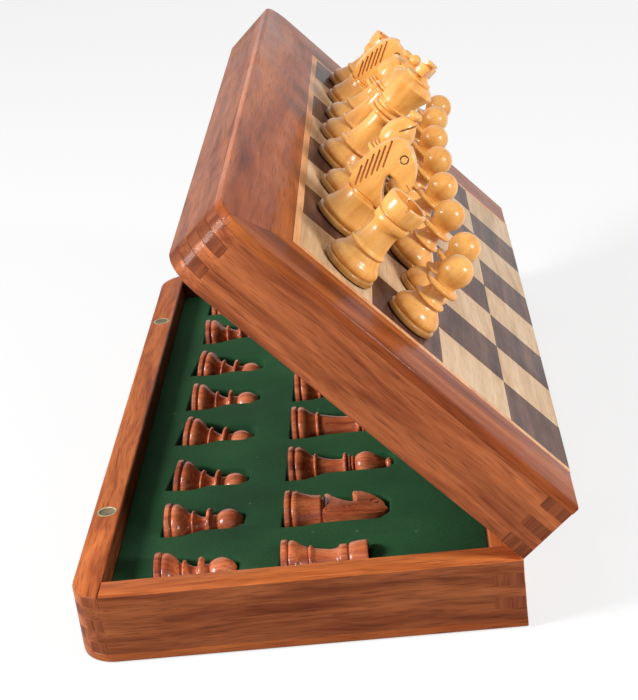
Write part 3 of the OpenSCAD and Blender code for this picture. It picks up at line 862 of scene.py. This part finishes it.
def makeQueen():
    s = men["queen"]
    top, r = s["height"], s["top"]
    head = top - 14
    steps = footSteps(s["foot"], 5.2)
    steps += beadSteps(5.9, 8.2, 1.3)
    steps += flowSteps([(4.9, 9.7), (4.0, 13.5), (3.4, 18.0), (3.6, head - 3.6)], 4)
    steps += beadSteps(5.4, head - 3.2, 1.3) + [(3.9, head - 1.8)] + beadSteps(4.7, head - 1.6, 1.0)
    steps += flowSteps([(3.7, head - 0.4), (4.3, head + 2.5), (5.2, head + 5.2), (r - 0.2, head + 8.0)], 4)
    steps += [(r, head + 8.5), (r - 0.5, head + 9.2), (r - 1.8, head + 8.9), (4.4, head + 9.3),
              (3.4, head + 10.2), (1.9, head + 10.7), (1.2, head + 10.9)]
    steps += arcSteps(0, top - 2, 2, -50, 86, 9)
    queen = turned("queen", steps)
    for k in range(8):
        turn = math.radians(k * 45)
        spot = (math.cos(turn) * (r + 0.2), math.sin(turn) * (r + 0.2), head + 9.5)
        letGo()
        bpy.ops.mesh.primitive_cylinder_add(vertices=20, radius=1.15 * mm, depth=3.2 * mm,
                                            location=[v * mm for v in spot],
                                            rotation=(0, math.pi / 2, turn))
        cutAway(queen, bpy.context.object)
    return finishMan("queen model", queen, s["foot"])


def makeKing():
    s = men["king"]
    top, r = s["height"], s["top"]
    head = top - 18.5
    steps = footSteps(s["foot"], 5.4)
    steps += beadSteps(6.1, 8.2, 1.4)
    steps += flowSteps([(5.1, 9.8), (4.3, 13.5), (3.7, 17.5), (3.9, head - 4.9)], 4)
    steps += beadSteps(5.8, head - 4.5, 1.4) + [(4.6, head - 3.0)] + beadSteps(5.6, head - 2.8, 1.3)
    steps += flowSteps([(4.8, head - 1.4), (4.7, head - 0.8), (5.0, head - 0.2)], 2)
    steps += beadSteps(5.9, head - 0.1, 0.8)
    steps += flowSteps([(5.3, head + 0.8), (5.7, head + 3.0), (6.6, head + 6.2), (r - 0.1, head + 9.0)], 4)
    steps += [(r, head + 9.4), (r - 0.4, head + 9.9), (6.3, head + 10.8), (5.0, head + 11.4),
              (4.6, head + 11.5), (4.75, head + 11.9), (4.5, head + 12.4), (3.6, head + 12.6),
              (2.9, head + 13.0), (2.3, head + 13.7)]
    king = turned("king", steps)
    right = [(1.9, 0), (1.3, -2.0), (3.6, -1.3), (3.6, -5.0), (1.4, -4.3), (2.1, -5.8)]
    outline = [(x, top + z) for x, z in right] + [(-x, top + z) for x, z in reversed(right)]
    cross = prism("cross", outline, 3.4, "Y")
    easeEdges(cross, 0.3, 2, 40)
    king = joined([king, cross], "king")
    return finishMan("king model", king, s["foot"])


def makeKnight(name, reach):
    s = men["knight"]
    top, t, eye = s["height"], s["thick"], s["eye"]
    z0 = 11.9
    steps = [p for p in footSteps(s["foot"], 6.0) if p[1] < 4.2]
    steps += flowSteps([(s["foot"] - 0.6, 4.3), (7.2, 5.6), (6.6, 7.4), (6.3, 9.2), (6.25, 11.1)], 4)
    steps += [(6.1, 11.35), (5.4, 11.45), (5.4, 12.1), (0.4, 12.1)]
    base = turned("knight foot", steps)
    back = [(-6.3, z0), (-7.0, 14.4), (-7.3, 17.6), (-7.3, 21.4), (-6.8, 25.0), (-5.8, 28.2), (-4.6, 30.3)]
    ears = [(-2.8, top - 0.4), (-1.6, top), (-0.6, top - 0.9)]
    face = [(1.2, 30.7), (3.0, 29.6), (4.6, 28.0), (6.0, 26.2), (7.0, 24.2), (7.4, 22.0), (7.0, 20.6)]
    throat = [(5.2, 20.6), (4.0, 21.5), (2.6, 21.8), (1.0, 21.6), (0.6, 20.4), (1.4, 18.4)]
    chest = [(2.8, 16.2), (4.4, 14.4), (6.0, 13.3), (6.3, 12.6), (6.0, z0)]
    face = [(x * reach, z) for x, z in face]
    throat = [(x * (1 + (reach - 1) * min(x / 5, 1)), z) for x, z in throat]
    head = prism("horse", back + ears + face + throat + chest, 2 * t, "Y")
    side = [(t / 2, z0 - 1), (t / 2, 17), (t / 2 - 0.5, 23), (t / 2 - 1.2, 27), (1.9, top + 0.2)]
    front = prism("front view", side + [(-y, z) for y, z in reversed(side)], 4 * t, "X")
    cutAway(head, front, "INTERSECT")

    def maneEdge(a, b):
        return max(a.x, b.x) < -2.5 * mm and min(a.z, b.z) > 12 * mm and abs(a.y + b.y) > 2 * mm \
            and (a - b).length > 0.3 * mm

    def otherEdge(a, b):
        return max(a.x, b.x) > -2.5 * mm and abs(a.y + b.y) > 2 * mm and a.y * b.y > 0 \
            and onSide(a) and onSide(b)

    def halfAt(z):
        for (a, low), (b, high) in zip(side, side[1:]):
            if low <= z <= high:
                return a + (b - a) * (z - low) / (high - low)
        return side[-1][0]

    def onSide(p):
        return abs(abs(p.y / mm) - halfAt(p.z / mm)) < 0.05
    easeChosenEdges(head, 0.5, 3, otherEdge)
    easeChosenEdges(head, 1.3, 2, maneEdge)
    for way in (-1, 1):
        for x, z, long in s["mane"]:
            cut = block("mane cut", (0.55, 2.4, long), (x, way * (halfAt(z) + 0.3), z), (way * 9, -23.5, 0))
            cutAway(head, cut)
        letGo()
        bpy.ops.mesh.primitive_torus_add(
            major_radius=eye["radius"] * mm, minor_radius=eye["groove"] * mm,
            major_segments=32, minor_segments=8,
            location=(eye["x"] * mm, way * (halfAt(eye["z"]) + 0.02) * mm, eye["z"] * mm),
            rotation=(math.pi / 2 + way * 0.25, 0, 0))
        cutAway(head, bpy.context.object)
        cutAway(head, block("mouth", (2.4, 1.4, 0.3), (6.6 * reach, way * t / 2, 22.4), (0, 20, 0)))
    cutAway(head, block("ear gap", (4.0, 1.3, 1.3), (-1.8, 0, top + 0.2), (45, 0, 0)))
    smoothByAngle(head, 35)
    smoothByAngle(base, 42)
    knight = finishMan(name, joined([base, head], "knight"), s["foot"])
    # faces in the eye ring's groove take the darkest slot, a painted shade in the groove
    for face in knight.data.polygons:
        x, y, z = (v / mm for v in face.center)
        offRing = abs(math.hypot(x - eye["x"], z - eye["z"]) - eye["radius"])
        if offRing < 0.35 and touch < halfAt(z) - abs(y) < 0.5:
            face.material_index = 3
    return knight


# the lying bishop and knight are shorter and narrower, as their pockets leave no more room
models = {
    "pawn": makePawn(), "rook": makeRook(),
    "bishop": makeBishop("bishop model", 13.9), "lying bishop": makeBishop("lying bishop model", 12.2),
    "queen": makeQueen(), "king": makeKing(),
    "knight": makeKnight("knight model", 1.16), "lying knight": makeKnight("lying knight model", 1.0),
}
for kind, model in models.items():
    print(kind, "made,", len(model.data.polygons), "faces")

# each side's wood, with a darker copy for the plinth and a much darker one for the eye groove, both painted
# shade
manWood = {}
for side, wood, look, half, along, shades in (
        ("white", "boxwood", boxwoodLook, "lid", "Z", (1.0, 0.55, 0.2)),
        ("dark", "rosewood", rosewoodLook, "tray", "X", (1.0, 0.9, 0.3))):
    manWood[side] = [woodMaterial(wood + part, look, half, along, shade)
                     for part, shade in zip(("", " foot", " burnt"), shades)]


def setMan(model, name, spot, side, node):
    piece = model.copy()
    piece.data = model.data.copy()
    piece.name = name
    bpy.context.scene.collection.objects.link(piece)
    piece.matrix_world = spot
    freeze(piece)
    for place, wood in zip((0, 2, 3), manWood[side]):
        piece.data.materials[place] = wood
    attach(piece, node)
    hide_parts(node)


def move(x, y, z):
    return Matrix.Translation((x * mm, y * mm, z * mm))


def turn(degrees, axis):
    return Matrix.Rotation(math.radians(degrees), 4, axis)


setting = {
    "files": "hgfedcba",
    "row": ["rook", "knight", "bishop", "king", "queen", "bishop", "knight", "rook"],
    "square": 26.0, "firstX": -case["halfWidth"] + 26.3 + 13.0,
    "firstY": -case["halfLength"] + 23.0 + 13.0,
    "rowOff": [(3.5, -3), (0, 3), (0.5, 2.5), (-1, 5.5), (-1, 4.5), (0.5, 3.5), (1, 4), (1, 3)],
    "pawnOff": [(0.5, -2.5), (6, 0.5), (1.5, -4.5), (0.5, -4.5), (0, -3), (0, -3), (2, 1), (5.5, 0.5)],
    "pawnX": -case["halfWidth"] + 21.5, "rowX": -case["halfWidth"] + 58.5, "lieZ": 12.4, "pitch": 29.8,
    "pawnShift": [0, 0, 0, 2.5, 0, 0, 0, 0], "pawnDip": [0, 0, 7, 8, 5, 8, 0, 3],
    "pawnTurn": [0, 2, 7, 8, 3, 8, 0, 2], "rowTurn": [0, 2, 1, 0, 0, 1, 0, 0],
    "whiteSpin": [20, -10, -12, 62, 50, 25, -5, 75], "pawnSpin": [0, 40, 80, 120, 160, 200, 240, 280],
}
onLid = move(case["hingeX"], 0, case["hingeZ"]) @ turn(case["lidOpen"], "Y") \
    @ move(-case["hingeX"], 0, case["hingeZ"])
for k in range(8):
    kind, fileName = setting["row"][k], setting["files"][k]
    for what, i, off, spin, node in (
            (kind, 0, setting["rowOff"][k], setting["whiteSpin"][k], "white_%s_%s" % (kind, fileName)),
            ("pawn", 1, setting["pawnOff"][k], setting["pawnSpin"][k], "white_pawn_" + fileName)):
        x = setting["firstX"] + i * setting["square"] + off[0]
        y = setting["firstY"] + k * setting["square"] + off[1]
        spot = onLid @ move(x, y, 0) @ turn(spin, "Z")
        setMan(models[what], node + "_turned", spot, "white", node)
    y = (k - 3.5) * setting["pitch"]
    for what, x, side, aside, dip, node in (
            (kind, setting["rowX"], y, setting["rowTurn"][k], 0, "dark_%s_%d" % (kind, k + 1)),
            ("pawn", setting["pawnX"], y + setting["pawnShift"][k], setting["pawnTurn"][k],
             setting["pawnDip"][k], "dark_pawn_%d" % (k + 1))):
        spot = move(x, side, setting["lieZ"]) @ turn(-aside, "Z") @ turn(90 + dip, "Y") @ turn(90, "Z")
        model = models["lying " + what if what in ("knight", "bishop") else what]
        setMan(model, node + "_turned", spot, "dark", node)
for model in models.values():
    bpy.data.objects.remove(model)
print("men set out")


# ---- floor, light and camera
studio = {
    # the floor shows in one tone and throws back light in a deeper one
    "floor": (0.9, 0.9, 0.9), "underfoot": (0.35, 0.35, 0.35), "floorGlow": 0.75,
    "floorSize": 8, "floorZ": -0.0003, "world": 0.38,
    # each lamp's place and size in metres, and its power
    "lamps": {"left": ((-0.83, -0.33, 0.62), 0.32, 13.0), "right": ((0.88, -0.55, 0.36), 0.26, 8.0)},
    "lampsAimAt": (0.02, 0, 0.03),
    "camera": (42.49, -514.67, 255.01), "aim": (66.766, 6.638, 1.189), "lens": 92.29,
}


def seenRays(tree):
    # one where the eye looks straight at a thing, or sees it in a gloss or through glass
    path = addNode(tree, "ShaderNodeLightPath")
    first = mathNode(tree, "MAXIMUM", path.outputs["Is Camera Ray"], path.outputs["Is Glossy Ray"])
    return mathNode(tree, "MAXIMUM", first, path.outputs["Is Transmission Ray"])


def layFloor():
    letGo()
    bpy.ops.mesh.primitive_plane_add(size=studio["floorSize"], location=(0, 0, studio["floorZ"]))
    floor = bpy.context.object
    floor.name = "pale_floor"
    floorMaterial, tree, shader = newMaterial("pale floor")
    seen = seenRays(tree)
    tree.links.new(mixColour(tree, seen, studio["underfoot"] + (1.0,), studio["floor"] + (1.0,)),
                   shader.inputs["Base Color"])
    shader.inputs["Roughness"].default_value = 0.9
    shader.inputs["Specular IOR Level"].default_value = 0.1
    glow = addNode(tree, "ShaderNodeEmission")
    glow.inputs["Strength"].default_value = 1.0
    blend = addNode(tree, "ShaderNodeMixShader")
    tree.links.new(mathNode(tree, "MULTIPLY", seen, studio["floorGlow"]), blend.inputs[0])
    tree.links.new(shader.outputs[0], blend.inputs[1])
    tree.links.new(glow.outputs[0], blend.inputs[2])
    tree.links.new(blend.outputs[0], tree.nodes["Material Output"].inputs["Surface"])
    floor.data.materials.append(floorMaterial)


def paintWorld():
    # plain light on the object, and white behind it and in its gloss
    world = bpy.context.scene.world or bpy.data.worlds.new("studio")
    bpy.context.scene.world = world
    world.use_nodes = True
    tree = world.node_tree
    for node in list(tree.nodes):
        tree.nodes.remove(node)
    plain = addNode(tree, "ShaderNodeBackground")
    plain.inputs["Color"].default_value = (1, 1, 1, 1)
    plain.inputs["Strength"].default_value = studio["world"]
    white = addNode(tree, "ShaderNodeBackground")
    white.inputs["Color"].default_value = (1, 1, 1, 1)
    choose = addNode(tree, "ShaderNodeMixShader")
    tree.links.new(seenRays(tree), choose.inputs[0])
    tree.links.new(plain.outputs[0], choose.inputs[1])
    tree.links.new(white.outputs[0], choose.inputs[2])
    tree.links.new(choose.outputs[0], addNode(tree, "ShaderNodeOutputWorld").inputs["Surface"])


def hangLamp(name, place, size, power):
    light = bpy.data.lights.new(name, "AREA")
    light.shape = "DISK"
    light.size = size
    light.energy = power
    holder = bpy.data.objects.new(name, light)
    bpy.context.scene.collection.objects.link(holder)
    holder.location = place
    aim = Vector(studio["lampsAimAt"]) - Vector(place)
    holder.rotation_euler = aim.to_track_quat("-Z", "Y").to_euler()


def setCamera():
    lens = bpy.data.cameras.new("view")
    lens.sensor_fit = "HORIZONTAL"
    lens.sensor_width = 36
    lens.lens = studio["lens"]
    lens.clip_start = 0.01
    camera = bpy.data.objects.new("view", lens)
    bpy.context.scene.collection.objects.link(camera)
    camera.location = [v * mm for v in studio["camera"]]
    camera.rotation_euler = [math.radians(v) for v in studio["aim"]]
    bpy.context.scene.camera = camera


layFloor()
paintWorld()
for name, (place, size, power) in studio["lamps"].items():
    hangLamp(name, place, size, power)
setCamera()
bpy.context.scene.view_settings.view_transform = "Standard"
print("studio set")
